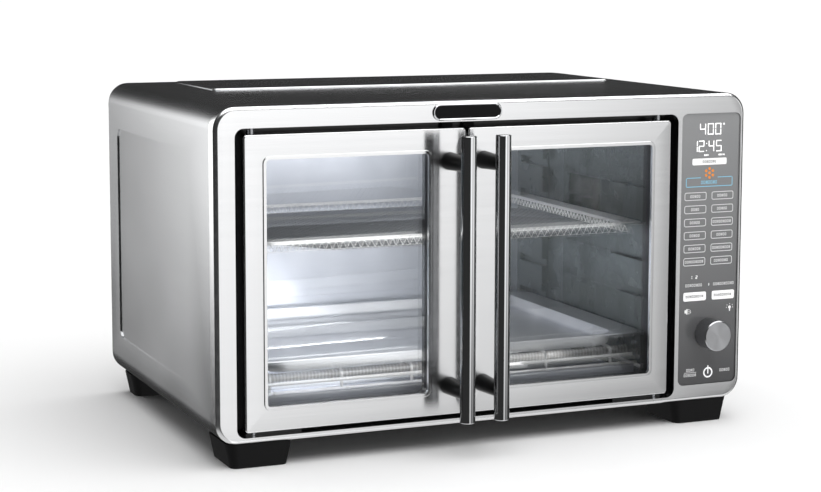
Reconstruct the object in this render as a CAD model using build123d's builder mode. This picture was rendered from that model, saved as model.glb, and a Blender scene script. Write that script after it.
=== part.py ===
"""Countertop toaster oven with a pair of French doors that open together.

Millimetres. +X is to the right for someone facing the oven, -Y is the front, +Z is up. The origin is the
middle of the whole object's box, on the surface that the feet stand on.
"""
import os
from math import cos, radians, sin

from build123d import *

os.makedirs("parts", exist_ok=True)

# ---------------------------------------------------------------- driving dimensions
# case
case_width = 450
case_height = 251
case_depth = 300
case_corner = 17
foot_height = 19
cover_sheet = 0.8
fit_gap = 0.2

# front bezel
bezel_depth = 13
bezel_sheet = 1.2
bezel_edge = 3.5
side_rail = 16
top_rail = 16
bottom_rail = 4.6
opening_width = 372
opening_corner = 7
return_depth = 6

# control panel
panel_gap = 3.5
panel_side = 4
panel_bottom = 13.2
panel_corner = 5
panel_inset = 1
panel_thickness = 3
knob_radius = 12.4
knob_length = 15.2
knob_x = 420
knob_z = 55.1
knob_shaft_radius = 3

# doors
door_side_gap = 6.5
door_bottom_gap = 3.4
door_top_gap = 4.7
door_centre_gap = 2
door_thickness = 17
door_sheet = 1.0
door_corner = 3
window_hinge_side = 17.5
window_free_side = 31
window_bottom = 18.5
window_top = 18.8
window_corner = 3
bead_width = 2.8
bead_height = 0.8
glass_thickness = 3.2
glass_lap = 4
gasket_inset = 8
gasket_width = 4
door_swing = 105

# hinges and the rod that joins the two doors
hinge_inset = 8.5
hinge_depth = 9.5
hinge_pin_radius = 3
running_gap = 0.05
crank_radius = 5
crank_pin_radius = 1.25
crank_plate = 2.5
rod_width = 6
rod_plate = 2

# handles
handle_radius = 6
handle_standoff = 34
handle_spread = 14.3
handle_foot_inset = 1
handle_head_inset = 3.3
post_inset = 22
post_radius = 7
post_tip_radius = 5.4
handle_screw_radius = 2

# recess behind the doors, and the cavity
frame_depth = 21.5
frame_sheet = 1.5
cavity_inset = 16.5
cavity_floor = 16
cavity_height = 210
cavity_depth = 233
wall_sheet = 0.8
groove_first = 23.5
groove_pitch = 30
groove_count = 6
groove_height = 6.6
groove_depth = 5
pocket_depth = 6
pocket_front = 57
pocket_rear = 183
pocket_corner = 12

# convection fan, on the right wall
fan_y = 101
fan_z = 57
surround_behind = 21
surround_radius = 83
grille_radius = 42
fan_wheel_radius = 38
fan_housing_radius = 48
fan_housing_depth = 21
fan_shaft_radius = 3

# heaters
heater_radius = 3.5
heater_low_z = 36.5
heater_high_z = 212
heater_front = 29
heater_rear = 177

# accessories
accessory_front = 5.5
accessory_back = 10
pan_flange = 1
pan_depth = 9.5
basket_depth = 8.5
rack_wire = 1.2
rack_leg_pitch = 59
rack_setback = 9.5
rack_leg_count = 6
rack_bars_per_leg = 3

# back
inlet_proud = 6
inlet_radius = 8

# ---------------------------------------------------------------- places worked out from them
handle_reach = handle_standoff + handle_radius
x_left = -case_width / 2
x_right = case_width / 2
z_base = foot_height
z_top = foot_height + case_height
y_face = (handle_reach - case_depth - inlet_proud) / 2
y_rear = y_face + case_depth
cover_front = y_face + bezel_depth + fit_gap

open_x0 = x_left + side_rail
open_x1 = open_x0 + opening_width
open_z0 = z_base + bottom_rail
open_z1 = z_top - top_rail
door_mid = (open_x0 + open_x1) / 2

door_width = (opening_width - 2 * door_side_gap - door_centre_gap) / 2
door_z0 = open_z0 + door_bottom_gap
door_z1 = open_z1 - door_top_gap
door_back = y_face + door_thickness
hinge_y = y_face + hinge_depth
hinge_span = opening_width - 2 * door_side_gap - 2 * hinge_inset
glass_front = y_face + door_sheet + bead_height + 0.4

cavity_x0 = open_x0 + cavity_inset
cavity_x1 = open_x1 - cavity_inset
cavity_z0 = z_base + cavity_floor
cavity_z1 = cavity_z0 + cavity_height
cavity_y0 = y_face + frame_depth + frame_sheet
cavity_y1 = cavity_y0 + cavity_depth
mouth_side = groove_depth + 0.5
groove_heights = [z_base + groove_first + n * groove_pitch for n in range(groove_count)]

panel_x0 = open_x1 + panel_gap
panel_x1 = x_right - panel_side
panel_z0 = z_base + panel_bottom
panel_z1 = open_z1
panel_front = y_face + panel_inset
panel_back = panel_front + panel_thickness


# ---------------------------------------------------------------- helpers
def face_at(y):
    """Upright sketch plane at depth y, drawn in X and Z. Extruding by a negative amount goes back."""
    return Plane.XZ.offset(-y)


def side_at(x):
    """Upright sketch plane facing +X, drawn in Y and Z."""
    return Plane.YZ.offset(x)


def field(x0, x1, z0, z1, corner=0, grow=0, mode=Mode.ADD):
    """Rectangle from corner to corner in the open sketch, grown all round, with rounded corners."""
    width = x1 - x0 + 2 * grow
    height = z1 - z0 + 2 * grow
    radius = corner + grow
    with Locations(((x0 + x1) / 2, (z0 + z1) / 2)):
        if radius > 0.05:
            RectangleRounded(width, height, radius, mode=mode)
        else:
            Rectangle(width, height, mode=mode)


def case_field(grow=0, mode=Mode.ADD):
    """Outline of the case seen from the front."""
    field(x_left, x_right, z_base, z_top, case_corner, grow, mode)


def opening_field(grow=0, mode=Mode.ADD):
    """Outline of the door opening."""
    field(open_x0, open_x1, open_z0, open_z1, opening_corner, grow, mode)


def save(piece, name):
    """Label a finished piece and write its STEP file."""
    piece.part.label = name
    export_step(piece.part, f"parts/{name}.step")


# ---------------------------------------------------------------- case
dent_depth = 1.1
dent_corner = 8
dent_front = y_face + 69
dent_rear = y_face + 272.6
dent_z0 = z_base + 34.6
dent_z1 = z_base + 214.1
raised_height = 1.2
raised_left = 57
raised_right = 26
raised_front = y_face + 180
raised_rear = y_face + 292

with BuildPart() as dents:
    # wedges that deepen towards the rear, with rounded corners there
    for sign in (-1, 1):
        with BuildSketch(Plane.XY.offset(dent_z0)):
            with BuildLine():
                Polyline(
                    (sign * case_width / 2, dent_front),
                    (sign * (case_width / 2 - dent_depth), dent_rear),
                    (sign * (case_width / 2 + 1), dent_rear),
                    (sign * (case_width / 2 + 1), dent_front),
                    close=True,
                )
            make_face()
        extrude(amount=dent_z1 - dent_z0)
    with BuildSketch(side_at(x_left - 2)):
        field(dent_front - 2 * dent_corner, dent_rear, dent_z0, dent_z1, dent_corner)
    extrude(amount=case_width + 4, mode=Mode.INTERSECT)

with BuildPart() as outer_cover:
    with BuildSketch(face_at(cover_front)):
        case_field()
        case_field(-cover_sheet, Mode.SUBTRACT)
    extrude(amount=cover_front - y_rear)
    # the dents: a liner inside each wall, then the wedges cut from outside
    for mirror_x in (-1, 1):
        wall = mirror_x * case_width / 2
        lined = wall - mirror_x * (dent_depth + cover_sheet)
        with BuildSketch(Plane.XY.offset(dent_z0 - cover_sheet)):
            with BuildLine():
                Polyline(
                    (wall - mirror_x * cover_sheet / 2, dent_front),
                    (lined, dent_rear),
                    (lined, dent_rear + cover_sheet),
                    (wall - mirror_x * cover_sheet / 2, dent_rear + cover_sheet),
                    close=True,
                )
            make_face()
        extrude(amount=dent_z1 - dent_z0 + 2 * cover_sheet)
    add(dents.part, mode=Mode.SUBTRACT)
    # raised field on the top
    with BuildSketch(Plane.XY.offset(z_top - cover_sheet)):
        field(x_left + raised_left, x_right - raised_right, raised_front, raised_rear, 6)
    extrude(amount=raised_height + cover_sheet)
    chamfer(outer_cover.edges().group_by(Axis.Z)[-1], length=0.9)
    with BuildSketch(Plane.XY.offset(z_top - cover_sheet)):
        field(x_left + raised_left, x_right - raised_right, raised_front, raised_rear, 6, -1.2)
    extrude(amount=raised_height, mode=Mode.SUBTRACT)
    # the base plate closes the underside between the lower corners
    with BuildSketch(Plane.XY.offset(z_base - 1)):
        field(x_left + case_corner, x_right - case_corner, cover_front - 1, y_rear + 1)
    extrude(amount=cover_sheet + 1.5, mode=Mode.SUBTRACT)
save(outer_cover, "outer_cover")

with BuildPart() as front_bezel:
    with BuildSketch(face_at(y_face)):
        case_field()
    extrude(amount=-bezel_depth)
    fillet(front_bezel.faces().sort_by(Axis.Y)[0].edges(), radius=bezel_edge)
    offset(amount=-bezel_sheet, openings=front_bezel.faces().sort_by(Axis.Y)[-1])
    with BuildSketch(face_at(y_face)):
        opening_field(bezel_sheet)
    extrude(amount=-return_depth)
    with BuildSketch(face_at(y_face)):
        opening_field()
        field(panel_x0, panel_x1, panel_z0, panel_z1, panel_corner)
    extrude(amount=-return_depth, mode=Mode.SUBTRACT)
save(front_bezel, "front_bezel")

base_sheet = 1
foot_width = 52.5
foot_inset = 9
front_foot_y = y_face + 28.5
front_foot_length = 53
rear_foot_y = y_face + 283.5
rear_foot_length = 31
foot_taper = 4
foot_screw_radius = 2
foot_x = case_width / 2 - foot_inset - foot_width / 2
foot_screw_x = foot_x - 2

with BuildPart() as base_plate:
    with BuildSketch(Plane.XY.offset(z_base)):
        field(x_left + case_corner, x_right - case_corner, cover_front, y_rear - fit_gap, 0, -fit_gap)
        with Locations((0, y_face + case_depth / 2)):
            with GridLocations(36, 16, 9, 8):
                SlotOverall(24, 4, mode=Mode.SUBTRACT)
        for foot_y in (front_foot_y, rear_foot_y):
            with Locations((-foot_screw_x, foot_y), (foot_screw_x, foot_y)):
                Circle(foot_screw_radius, mode=Mode.SUBTRACT)
    extrude(amount=base_sheet)
save(base_plate, "base_plate")

with BuildPart() as feet:
    for foot_y, length in ((front_foot_y, front_foot_length), (rear_foot_y, rear_foot_length)):
        for sign in (-1, 1):
            with BuildSketch(Plane.XY.offset(foot_height - fit_gap / 2)):
                with Locations((sign * foot_x, foot_y)):
                    RectangleRounded(foot_width, length, 8)
            with BuildSketch(Plane.XY):
                with Locations((sign * foot_x, foot_y)):
                    RectangleRounded(foot_width - 2 * foot_taper, length - foot_taper, 6)
            loft()
            with BuildSketch(Plane.XY.offset(6)):
                with Locations((sign * foot_screw_x, foot_y)):
                    Circle(foot_screw_radius)
            extrude(amount=foot_height, mode=Mode.SUBTRACT)
save(feet, "feet")

with BuildPart() as foot_screws:
    for foot_y in (front_foot_y, rear_foot_y):
        with BuildSketch(Plane.XY.offset(7)):
            with Locations((-foot_screw_x, foot_y), (foot_screw_x, foot_y)):
                Circle(foot_screw_radius)
        extrude(amount=z_base + base_sheet - 7)
        with BuildSketch(Plane.XY.offset(z_base + base_sheet)):
            with Locations((-foot_screw_x, foot_y), (foot_screw_x, foot_y)):
                Circle(2 * foot_screw_radius)
        extrude(amount=foot_screw_radius)
save(foot_screws, "foot_screws")

back_sheet = 1
back_hem = 8
back_screw_radius = 1.6
inlet_x = x_right - 45
inlet_z = z_base + 38
back_screw_spots = [
    (sign * (case_width / 2 - case_corner), z) for sign in (-1, 1) for z in (z_base + 14, z_base + 125, z_top - 14)
]

with BuildPart() as back_panel:
    with BuildSketch(face_at(y_rear)):
        case_field(-cover_sheet - fit_gap)
    extrude(amount=back_hem)
    with BuildSketch(face_at(y_rear - back_sheet)):
        case_field(-cover_sheet - fit_gap - back_sheet)
    extrude(amount=back_hem, mode=Mode.SUBTRACT)
    with BuildSketch(face_at(y_rear + 1)):
        with Locations((door_mid, z_top - 45)):
            with GridLocations(26, 13, 10, 3):
                SlotOverall(20, 4.5)
        with Locations((x_right - 45, z_base + 150)):
            with GridLocations(20, 11, 2, 8):
                SlotOverall(15, 4.5)
        with Locations((inlet_x, inlet_z)):
            Circle(inlet_radius)
        with Locations(*back_screw_spots):
            Circle(back_screw_radius)
    extrude(amount=back_sheet + 2, mode=Mode.SUBTRACT)
save(back_panel, "back_panel")

with BuildPart() as back_panel_screws:
    with BuildSketch(face_at(y_rear)):
        with Locations(*back_screw_spots):
            Circle(back_screw_radius)
    extrude(amount=back_hem)
    with BuildSketch(face_at(y_rear)):
        with Locations(*back_screw_spots):
            Circle(2 * back_screw_radius)
    extrude(amount=-back_screw_radius)
    fillet(back_panel_screws.faces().group_by(Axis.Y)[-1].edges(), radius=0.9)
save(back_panel_screws, "back_panel_screws")

inlet_bore = 4
inlet_flange = 2.5
with BuildPart() as cord_inlet:
    with BuildSketch(face_at(y_rear - 8)):
        with Locations((inlet_x, inlet_z)):
            Circle(inlet_radius)
            Circle(inlet_bore, mode=Mode.SUBTRACT)
    extrude(amount=-8 - inlet_proud)
    with BuildSketch(face_at(y_rear)):
        with Locations((inlet_x, inlet_z)):
            Circle(inlet_radius + 3)
            Circle(inlet_bore, mode=Mode.SUBTRACT)
    extrude(amount=-inlet_flange)
    fillet(cord_inlet.faces().sort_by(Axis.Y)[-1].outer_wire().edges(), radius=2)
save(cord_inlet, "cord_inlet")

badge_width = 57.7
badge_height = 12.8
badge_drop = 8.6
badge_rim_width = 1.6
badge_z = z_top - badge_drop
with BuildPart() as badge_rim:
    with BuildSketch(face_at(y_face)):
        with Locations((door_mid, badge_z)):
            SlotOverall(badge_width, badge_height)
            SlotOverall(badge_width - 2 * badge_rim_width, badge_height - 2 * badge_rim_width, mode=Mode.SUBTRACT)
    extrude(amount=1.6)
    chamfer(badge_rim.faces().sort_by(Axis.Y)[0].edges(), length=0.6)
save(badge_rim, "badge_rim")

with BuildPart() as badge_plate:
    with BuildSketch(face_at(y_face)):
        with Locations((door_mid, badge_z)):
            SlotOverall(badge_width - 2 * badge_rim_width, badge_height - 2 * badge_rim_width)
    extrude(amount=1.0)
save(badge_plate, "badge_plate")

# ---------------------------------------------------------------- recess frame and hinge brackets
bracket_sheet = 1.5
bracket_length = 44
hinge_spots = [door_mid - hinge_span / 2, door_mid + hinge_span / 2]

with BuildPart() as recess_frame:
    with BuildSketch(face_at(y_face + return_depth + fit_gap)):
        opening_field(bezel_sheet)
    extrude(amount=return_depth + fit_gap - frame_depth - frame_sheet)
    with BuildSketch(face_at(y_face + return_depth + fit_gap)):
        opening_field()
    extrude(amount=return_depth + fit_gap - frame_depth, mode=Mode.SUBTRACT)
    with BuildSketch(face_at(y_face)):
        field(cavity_x0 - mouth_side, cavity_x1 + mouth_side, cavity_z0, cavity_z1, 2)
    extrude(amount=-frame_depth - 5, mode=Mode.SUBTRACT)
    with BuildSketch(Plane.XY.offset(z_base)):
        with Locations(*[(x, hinge_y) for x in hinge_spots]):
            Circle(hinge_pin_radius + 0.5)
    extrude(amount=case_height, mode=Mode.SUBTRACT)
save(recess_frame, "recess_frame")

with BuildPart() as hinge_brackets:
    for plate_z in (open_z1 - bracket_sheet, open_z0):
        with BuildSketch(Plane.XY.offset(plate_z)):
            for x, sign in zip(hinge_spots, (1, -1)):
                with Locations((x + sign * (bracket_length / 2 - 6), y_face + 14)):
                    Rectangle(bracket_length, 14.6)
                with Locations((x, hinge_y)):
                    Circle(hinge_pin_radius + running_gap, mode=Mode.SUBTRACT)
        extrude(amount=bracket_sheet)
save(hinge_brackets, "hinge_brackets")

magnet_width = 9
with BuildPart() as door_magnets:
    with BuildSketch(face_at(y_face + frame_depth)):
        with Locations((door_mid - 9, open_z1 - 4.5), (door_mid + 9, open_z1 - 4.5)):
            Rectangle(magnet_width, 6)
    extrude(amount=frame_depth - door_thickness - 0.4)
save(door_magnets, "door_magnets")

# ---------------------------------------------------------------- doors
crank_rest = door_swing / 2
crank_z = open_z1 + bezel_sheet + 1.8
crank_top = crank_z + crank_plate
rod_z = crank_top + 0.3
rod_top = rod_z + rod_plate
crank_offset_x = crank_radius * sin(radians(crank_rest))
crank_offset_y = crank_radius * cos(radians(crank_rest))


def build_door(side, sign):
    """Make one door and what turns with it. sign is +1 for the left door, whose free edge is to the right."""
    outer = door_mid - sign * (door_width + door_centre_gap / 2)
    inner = outer + sign * door_width
    x0, x1 = min(outer, inner), max(outer, inner)
    window_a = outer + sign * window_hinge_side
    window_b = inner - sign * window_free_side
    wx0, wx1 = min(window_a, window_b), max(window_a, window_b)
    wz0 = door_z0 + window_bottom
    wz1 = door_z1 - window_top
    hinge_x = outer + sign * hinge_inset
    handle_x = door_mid - sign * handle_spread
    bar_z0 = door_z0 + handle_foot_inset
    bar_z1 = door_z1 - handle_head_inset
    posts = [(handle_x, bar_z0 + post_inset), (handle_x, bar_z1 - post_inset)]

    with BuildPart() as skin:
        with BuildSketch(face_at(y_face)):
            field(x0, x1, door_z0, door_z1, door_corner)
        extrude(amount=-door_thickness)
        fillet(skin.faces().sort_by(Axis.Y)[0].edges(), radius=1.4 * door_sheet)
        with BuildSketch(face_at(y_face + door_sheet)):
            field(x0, x1, door_z0, door_z1, door_corner, -door_sheet)
        extrude(amount=-door_thickness, mode=Mode.SUBTRACT)
        with BuildSketch(face_at(y_face - bead_height)):
            field(wx0, wx1, wz0, wz1, window_corner, bead_width)
        extrude(amount=y_face - bead_height - glass_front)
        fillet(skin.faces().sort_by(Axis.Y)[0].edges(), radius=0.7)
        with BuildSketch(face_at(y_face - bead_height - 1)):
            field(wx0, wx1, wz0, wz1, window_corner)
            with Locations(*posts):
                Circle(handle_screw_radius)
        extrude(amount=-bead_height - 1 - (glass_front - y_face), mode=Mode.SUBTRACT)
        with BuildSketch(Plane.XY.offset(door_z0 - 1)):
            with Locations((hinge_x, hinge_y)):
                Circle(hinge_pin_radius)
        extrude(amount=door_z1 - door_z0 + 2, mode=Mode.SUBTRACT)
    save(skin, f"{side}_door_skin")

    with BuildPart() as glass:
        with BuildSketch(face_at(glass_front)):
            field(wx0, wx1, wz0, wz1, 4, glass_lap)
        extrude(amount=-glass_thickness)
    save(glass, f"{side}_door_glass")

    with BuildPart() as inner_panel:
        with BuildSketch(face_at(door_back - 1.2)):
            field(x0, x1, door_z0, door_z1, door_corner, -door_sheet - 0.1)
        extrude(amount=-1.2)
        with BuildSketch(face_at(glass_front + glass_thickness)):
            field(wx0, wx1, wz0, wz1, window_corner, 3)
        extrude(amount=glass_front + glass_thickness - door_back)
        with BuildSketch(face_at(glass_front + glass_thickness)):
            field(wx0, wx1, wz0, wz1, window_corner, 2)
        extrude(amount=glass_front + glass_thickness - door_back, mode=Mode.SUBTRACT)
    save(inner_panel, f"{side}_inner_panel")

    with BuildPart() as gasket:
        with BuildSketch(face_at(door_back)):
            field(x0, x1, door_z0, door_z1, 8, -gasket_inset)
            field(x0, x1, door_z0, door_z1, 8, -gasket_inset - gasket_width, Mode.SUBTRACT)
        extrude(amount=door_thickness - frame_depth + 0.4)
    save(gasket, f"{side}_gasket")

    with BuildPart() as bar:
        with BuildSketch(Plane.XY.offset(bar_z0)):
            with Locations((handle_x, y_face - handle_standoff)):
                Circle(handle_radius)
        extrude(amount=bar_z1 - bar_z0)
        fillet(bar.edges().filter_by(GeomType.CIRCLE), radius=0.8)
    save(bar, f"{side}_handle_bar")

    with BuildPart() as post_pair:
        with Locations(*[(x, y_face, z) for x, z in posts]):
            Cone(
                post_radius,
                post_tip_radius,
                handle_standoff,
                rotation=(90, 0, 0),
                align=(Align.CENTER, Align.CENTER, Align.MIN),
            )
        # the bar's own round leaves a saddle at the end of each post
        with BuildSketch(Plane.XY.offset(bar_z0)):
            with Locations((handle_x, y_face - handle_standoff)):
                Circle(handle_radius)
        extrude(amount=bar_z1 - bar_z0, mode=Mode.SUBTRACT)
        with BuildSketch(face_at(y_face)):
            with Locations(*posts):
                Circle(handle_screw_radius)
        extrude(amount=12, mode=Mode.SUBTRACT)
    save(post_pair, f"{side}_handle_posts")

    with BuildPart() as handle_screws:
        with BuildSketch(face_at(y_face + door_sheet)):
            with Locations(*posts):
                Circle(handle_screw_radius)
        extrude(amount=door_sheet + 11)
        with BuildSketch(face_at(y_face + door_sheet)):
            with Locations(*posts):
                Circle(2 * handle_screw_radius)
        extrude(amount=-handle_screw_radius)
    save(handle_screws, f"{side}_handle_screws")

    with BuildPart() as pins:
        for pin_z0, pin_z1 in (
            (door_z1 - 12, crank_top),
            (z_base + base_sheet + 1.2, door_z0 + 12),
        ):
            with BuildSketch(Plane.XY.offset(pin_z0)):
                with Locations((hinge_x, hinge_y)):
                    Circle(hinge_pin_radius)
            extrude(amount=pin_z1 - pin_z0)
    save(pins, f"{side}_hinge_pins")

    # the left crank's pin stands behind the hinge and the right one's in front, so the doors turn opposite ways
    crank_pin = (hinge_x - crank_offset_x, hinge_y + sign * crank_offset_y)
    with BuildPart() as crank:
        with BuildSketch(Plane.XY.offset(crank_z)):
            with Locations((hinge_x, hinge_y)):
                Circle(hinge_pin_radius + 2)
            with Locations(crank_pin):
                Circle(crank_pin_radius + 0.9)
            with BuildLine():
                Line((hinge_x, hinge_y), crank_pin)
            make_hull()
            with Locations((hinge_x, hinge_y)):
                Circle(hinge_pin_radius, mode=Mode.SUBTRACT)
        extrude(amount=crank_plate)
        with BuildSketch(Plane.XY.offset(crank_top)):
            with Locations(crank_pin):
                Circle(crank_pin_radius)
        extrude(amount=rod_plate + 0.6)
    save(crank, f"{side}_crank")
    return crank_pin


left_crank_pin = build_door("left", 1)
right_crank_pin = build_door("right", -1)

fork_front = hinge_y - crank_radius - (crank_radius - crank_offset_y) - 0.3
with BuildPart() as link_rod:
    with BuildSketch(Plane.XY.offset(rod_z)):
        with Locations(left_crank_pin):
            Circle(rod_width / 2)
        with Locations((right_crank_pin[0], hinge_y)):
            Circle(rod_width / 2)
        make_hull()
        with Locations((right_crank_pin[0], (fork_front + hinge_y) / 2)):
            Rectangle(rod_width, hinge_y - fork_front)
        with Locations(left_crank_pin):
            Circle(crank_pin_radius + running_gap, mode=Mode.SUBTRACT)
        with Locations((right_crank_pin[0], (fork_front + right_crank_pin[1]) / 2 - 1)):
            SlotOverall(
                right_crank_pin[1] - fork_front + 2 * crank_pin_radius + 2.4,
                2 * crank_pin_radius + 0.2,
                rotation=90,
                mode=Mode.SUBTRACT,
            )
    extrude(amount=rod_plate)
save(link_rod, "link_rod")

# ---------------------------------------------------------------- cavity
with BuildPart() as cavity_shell:
    with BuildSketch(face_at(cavity_y0)):
        field(cavity_x0, cavity_x1, cavity_z0 - wall_sheet, cavity_z1 + wall_sheet)
    extrude(amount=-cavity_depth - wall_sheet)
    with BuildSketch(face_at(cavity_y0)):
        field(cavity_x0 - 1, cavity_x1 + 1, cavity_z0, cavity_z1)
    extrude(amount=-cavity_depth, mode=Mode.SUBTRACT)
    # shallow pressed field that stiffens the back
    with BuildSketch(face_at(cavity_y1 - 1)):
        field(door_mid - 130, door_mid + 130, cavity_z0 + 40, cavity_z1 - 40, 10)
        field(door_mid - 130, door_mid + 130, cavity_z0 + 40, cavity_z1 - 40, 10, -6, Mode.SUBTRACT)
    extrude(amount=-1)
save(cavity_shell, "cavity_shell")

pocket_y0 = cavity_y0 + pocket_front
pocket_y1 = cavity_y0 + pocket_rear
groove_end = cavity_y1 - 6
heater_y = (cavity_y0 + heater_front, cavity_y0 + heater_rear)
heater_z = (z_base + heater_low_z, z_base + heater_high_z)
fan_centre = (cavity_y0 + fan_y, z_base + fan_z)
lamp_y0 = cavity_y0 + 84
lamp_y1 = cavity_y0 + 146
lamp_z0 = z_base + 134
lamp_z1 = z_base + 174


def fan_surround(grow=0):
    """The round bulge of the pocket's front edge about the fan, kept within the pocket's height."""
    with Locations((fan_centre[0] + surround_behind, fan_centre[1])):
        Circle(surround_radius + grow)
    rear, low = pocket_y1 + grow, cavity_z0 + 4 - grow
    field(rear, rear + surround_radius, low - surround_radius, cavity_z1, mode=Mode.SUBTRACT)
    field(cavity_y0, rear, low - surround_radius, low, mode=Mode.SUBTRACT)


def build_side_wall(side, sign):
    """Pressed side wall with shelf grooves front and rear and a deep pocket between. sign points outwards."""
    wall_x = cavity_x1 if sign > 0 else cavity_x0

    with BuildPart() as wall:
        # the sheet and everything pressed outwards, as solid lumps
        with BuildSketch(side_at(wall_x)):
            field(cavity_y0, cavity_y1 + wall_sheet, cavity_z0 - wall_sheet, cavity_z1 + wall_sheet)
        extrude(amount=sign * wall_sheet)
        with BuildSketch(side_at(wall_x)):
            field(cavity_y0, cavity_y0 + wall_sheet, cavity_z0 - wall_sheet, cavity_z1 + wall_sheet)
        extrude(amount=sign * (mouth_side + 4))
        with BuildSketch(side_at(wall_x)):
            field(pocket_y0, pocket_y1, cavity_z0 + 4, cavity_z1 - 4, pocket_corner, wall_sheet)
            if sign > 0:
                fan_surround(wall_sheet)
        extrude(amount=sign * (pocket_depth + wall_sheet))
        with BuildSketch(side_at(wall_x)):
            for z in groove_heights:
                field(cavity_y0, pocket_y0 + pocket_corner, z, z + groove_height, 0, wall_sheet)
                field(pocket_y1 - pocket_corner, groove_end, z, z + groove_height, 0, wall_sheet)
        extrude(amount=sign * (groove_depth + wall_sheet))
        # hollowed from inside, which leaves the sheet
        with BuildSketch(side_at(wall_x)):
            field(pocket_y0, pocket_y1, cavity_z0 + 4, cavity_z1 - 4, pocket_corner)
            if sign > 0:
                fan_surround()
        extrude(amount=sign * pocket_depth, mode=Mode.SUBTRACT)
        with BuildSketch(side_at(wall_x)):
            for z in groove_heights:
                field(cavity_y0 - 2, pocket_y0 + pocket_corner, z, z + groove_height)
                field(pocket_y1 - pocket_corner, groove_end, z, z + groove_height)
        extrude(amount=sign * groove_depth, mode=Mode.SUBTRACT)
        with BuildSketch(side_at(wall_x)):
            field(cavity_y0 - 4, cavity_y0, cavity_z0 - 4, cavity_z1 + 4)
        extrude(amount=sign * 4 * groove_depth, mode=Mode.SUBTRACT)
        # holes for the heater ends
        with BuildSketch(side_at(wall_x)):
            with Locations(*[(y, z) for y in heater_y for z in heater_z]):
                Circle(heater_radius + 0.7)
        extrude(amount=sign * 4 * groove_depth, mode=Mode.SUBTRACT)
        if sign > 0:
            # fan grille: rings of curved slots round a solid middle, and the lamp's window
            with BuildSketch(side_at(wall_x)):
                for ring, slots in ((12, 6), (20, 8), (28, 12), (36, 16)):
                    with Locations(fan_centre):
                        with PolarLocations(0, slots):
                            SlotArc(CenterArc((0, 0), ring, -120 / slots, 240 / slots), 4)
                field(lamp_y0, lamp_y1, lamp_z0, lamp_z1, 4, -2)
            extrude(amount=sign * 4 * groove_depth, mode=Mode.SUBTRACT)
        else:
            with BuildSketch(side_at(wall_x)):
                with Locations((cavity_y0 + 205, cavity_z1 - 20)):
                    Circle(2.1)
            extrude(amount=sign * 4 * groove_depth, mode=Mode.SUBTRACT)
    save(wall, f"{side}_side_wall")


build_side_wall("left", -1)
build_side_wall("right", 1)

heater_end = 16
with BuildPart() as heater_tubes:
    with BuildSketch(side_at(cavity_x0 - heater_end)):
        with Locations(*[(y, z) for y in heater_y for z in heater_z]):
            Circle(heater_radius)
    extrude(amount=cavity_x1 - cavity_x0 + 2 * heater_end)
save(heater_tubes, "heater_tubes")

insulator_length = 7
with BuildPart() as heater_insulators:
    for y, pressed in zip(heater_y, (0, pocket_depth)):
        for x in (cavity_x0 - pressed - wall_sheet - insulator_length, cavity_x1 + pressed + wall_sheet):
            with BuildSketch(side_at(x)):
                with Locations(*[(y, z) for z in heater_z]):
                    Circle(heater_radius + 2)
                    Circle(heater_radius, mode=Mode.SUBTRACT)
            extrude(amount=insulator_length)
save(heater_insulators, "heater_insulators")

# ---------------------------------------------------------------- convection fan
housing_x = cavity_x1 + pocket_depth + wall_sheet
motor_x = housing_x + fan_housing_depth
motor_length = 26
motor_radius = 22
cooling_x = motor_x + motor_length + 2
fan_blades = 10

with BuildPart() as fan_housing:
    with BuildSketch(side_at(housing_x)):
        with Locations(fan_centre):
            Circle(fan_housing_radius)
    extrude(amount=fan_housing_depth)
    with BuildSketch(side_at(housing_x)):
        with Locations(fan_centre):
            Circle(fan_housing_radius - wall_sheet)
    extrude(amount=fan_housing_depth - wall_sheet, mode=Mode.SUBTRACT)
    with BuildSketch(side_at(housing_x)):
        with Locations(fan_centre):
            Circle(fan_shaft_radius + 1)
    extrude(amount=fan_housing_depth + 1, mode=Mode.SUBTRACT)
save(fan_housing, "fan_housing")

with BuildPart() as fan_wheel:
    with BuildSketch(side_at(housing_x + fan_housing_depth - 5)):
        with Locations(fan_centre):
            Circle(fan_wheel_radius)
    extrude(amount=1)
    with BuildSketch(side_at(housing_x + 3)):
        with Locations(fan_centre):
            with PolarLocations(24, fan_blades):
                Rectangle(24, 1)
            Circle(8)
    extrude(amount=fan_housing_depth - 8)
    with BuildSketch(side_at(housing_x + 3)):
        with Locations(fan_centre):
            Circle(fan_shaft_radius)
    extrude(amount=fan_housing_depth, mode=Mode.SUBTRACT)
save(fan_wheel, "fan_wheel")

with BuildPart() as fan_motor:
    with BuildSketch(side_at(motor_x)):
        with Locations(fan_centre):
            Circle(motor_radius)
            Circle(fan_shaft_radius + running_gap, mode=Mode.SUBTRACT)
    extrude(amount=motor_length)
    chamfer(fan_motor.edges().filter_by(GeomType.CIRCLE).group_by(SortBy.RADIUS)[-1], length=2)
save(fan_motor, "fan_motor")

with BuildPart() as fan_shaft:
    with BuildSketch(side_at(housing_x + 3)):
        with Locations(fan_centre):
            Circle(fan_shaft_radius)
    extrude(amount=cooling_x + 8 - housing_x - 3)
save(fan_shaft, "fan_shaft")

cooling_radius = 30
with BuildPart() as cooling_fan:
    with BuildSketch(side_at(cooling_x)):
        with Locations(fan_centre):
            with PolarLocations(cooling_radius / 2 + 3, 6):
                Rectangle(cooling_radius - 6, 8)
            Circle(8)
            Circle(fan_shaft_radius, mode=Mode.SUBTRACT)
    extrude(amount=1.2)
    with BuildSketch(side_at(cooling_x)):
        with Locations(fan_centre):
            Circle(8)
            Circle(fan_shaft_radius, mode=Mode.SUBTRACT)
    extrude(amount=7)
save(cooling_fan, "cooling_fan")

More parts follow.
